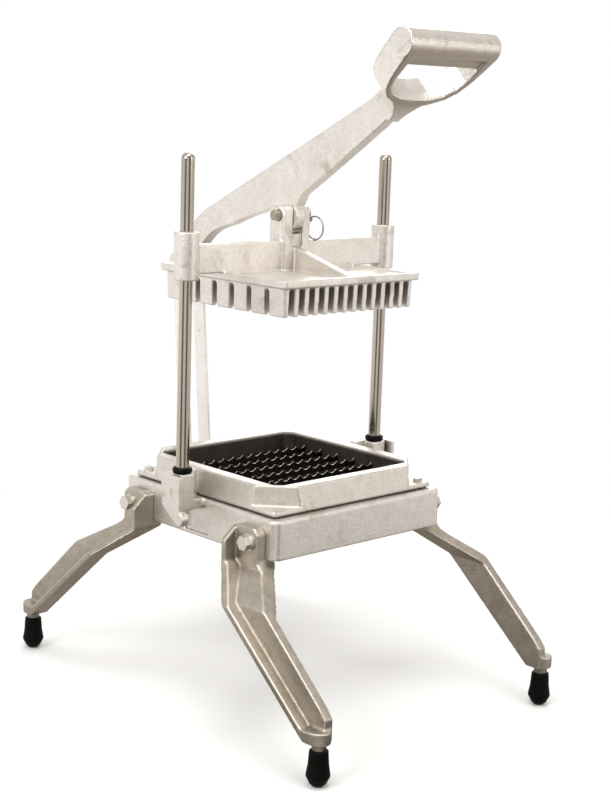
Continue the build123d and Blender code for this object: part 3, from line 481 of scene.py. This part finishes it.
def floor_material():
    """White sweep to the camera; to reflections, dull near the centre and bright far out."""
    s = Surface("floor")
    white = s.layer((0.90, 0.90, 0.90), (0.93, 0.93, 0.925), amount=s.noise(scale=2.0, detail=3))
    s.finish(white, rough=0.75)
    distance = s.vector("LENGTH", s.place, output="Value")

    glow = s.node("Emission", {"Color": (1, 1, 1, 1), "Strength": 1.0})
    fade = s.rise(s.mul(distance, 0.5), lo=0.12, hi=0.42)
    seen = s.node("MixShader", {0: fade, 1: s.shader.outputs[0], 2: glow.outputs[0]})

    # a little brighter towards the camera's left
    heading = s.vector("NORMALIZE", s.place)
    leftward = s.vector("DOT_PRODUCT", heading, (-0.69, 0.72, 0), output="Value")
    lean = s.math("MULTIPLY_ADD", leftward, 0.12, 1.02)
    reflected_colour = s.ramp(s.mul(distance, 0.25), [
        (0.05, (0.33, 0.30, 0.265)), (0.20, (0.84, 0.81, 0.77)), (0.50, (1.08, 1.06, 1.03))])
    reflected = s.node("Emission", {"Color": reflected_colour,
                                    "Strength": s.mul(lean, dark_bands(s))})
    s.feed(s.output.inputs[0], s.camera_switch(reflected.outputs[0], seen.outputs[0]))
    return s.material


def build_floor():
    mesh = bpy.data.meshes.new("floor")
    corners = [(x * FLOOR_HALF, y * FLOOR_HALF, 0)
               for x, y in ((-1, -1), (1, -1), (1, 1), (-1, 1))]
    mesh.from_pydata(corners, [], [(0, 1, 2, 3)])
    floor = bpy.data.objects.new("floor", mesh)
    bpy.context.scene.collection.objects.link(floor)
    paint(floor, floor_material())


def build_world():
    """White to the camera; to reflections, a soft tent that is brighter above and to -X."""
    world = bpy.data.worlds.new("studio")
    bpy.context.scene.world = world
    world.use_nodes = True
    graph = Graph(world.node_tree, "Generated")
    direction = graph.split(graph.place)
    by_height = graph.ramp(direction["Z"], [
        (0.0, (1.08, 1.06, 1.03)), (0.16, (1.05, 1.03, 1.0)), (0.36, (0.84, 0.82, 0.79)),
        (0.62, (1.10, 1.09, 1.08)), (1.0, 1.25)])
    # 0 towards +X, 1 towards -X
    side = graph.math("MULTIPLY_ADD", direction["X"], -0.5, 0.5)
    by_side = graph.ramp(side, [
        (0.0, (0.88, 0.85, 0.81)), (0.35, (0.93, 0.91, 0.88)), (0.62, 1.0), (1.0, 1.14)])
    colour = graph.layer(by_height, by_side, amount=1.0, blend="MULTIPLY")
    strength = graph.mul(dark_bands(graph), 0.80)
    tent = graph.node("Background", {"Color": colour, "Strength": strength})
    white = graph.node("Background", {"Color": (1, 1, 1, 1), "Strength": 1.0})
    shader = graph.camera_switch(tent.outputs[0], white.outputs[0])
    graph.node("OutputWorld", {0: shader})


build_floor()
build_world()

# ---------------------------------------------------------------------------
# Lights and camera
# ---------------------------------------------------------------------------
WHITE = (1, 1, 1)
WARM = (1.0, 0.985, 0.96)
# name, place, point aimed at, (width, height), watts, colour
SOFTBOXES = (
    ("key", (-2.3, -0.3, 1.5), (0, 0, 0.25), (1.1, 1.3), 30, WARM),
    ("top", (-0.3, -0.5, 2.4), (0, 0, 0.2), (1.2, 1.2), 22, WHITE),
    ("rim", (1.6, 1.5, 1.5), (0, 0, 0.3), (0.8, 1.4), 12, WHITE),
    ("fill", (0.8, -2.2, 1.0), (0, 0, 0.3), (1.0, 1.0), 9, WARM),
)
CAMERA_PLACE = (-1.0334, -1.1271, 0.5793)
CAMERA_YAW = math.radians(43.283)  # from +Y towards +X
CAMERA_PITCH = math.radians(-10.632)
CAMERA_ROLL = math.radians(1.9295)
SENSOR_WIDTH = 36  # millimetres
FOCAL_LENGTH = 69.2442  # millimetres


def softbox(name, place, target, size, watts, colour):
    light = bpy.data.lights.new(name, "AREA")
    light.shape = "RECTANGLE"
    light.size, light.size_y = size
    light.energy = watts
    light.color = colour
    obj = bpy.data.objects.new(name, light)
    bpy.context.scene.collection.objects.link(obj)
    obj.location = place
    obj.rotation_euler = (Vector(target) - Vector(place)).to_track_quat("-Z", "Y").to_euler()


def build_camera():
    level = math.cos(CAMERA_PITCH)
    forward = Vector((math.sin(CAMERA_YAW) * level, math.cos(CAMERA_YAW) * level,
                      math.sin(CAMERA_PITCH)))
    right = Vector((math.cos(CAMERA_YAW), -math.sin(CAMERA_YAW), 0))
    up = right.cross(forward)
    rolled_right = right * math.cos(CAMERA_ROLL) + up * math.sin(CAMERA_ROLL)
    rolled_up = -right * math.sin(CAMERA_ROLL) + up * math.cos(CAMERA_ROLL)
    data = bpy.data.cameras.new("camera")
    camera = bpy.data.objects.new("camera", data)
    bpy.context.scene.collection.objects.link(camera)
    data.sensor_width = SENSOR_WIDTH
    data.sensor_fit = "AUTO"
    data.lens = FOCAL_LENGTH
    matrix = Matrix((rolled_right, rolled_up, -forward)).transposed().to_4x4()
    matrix.translation = Vector(CAMERA_PLACE)
    camera.matrix_world = matrix
    bpy.context.scene.camera = camera


for box in SOFTBOXES:
    softbox(*box)
build_camera()
bpy.context.scene.view_settings.view_transform = "Standard"
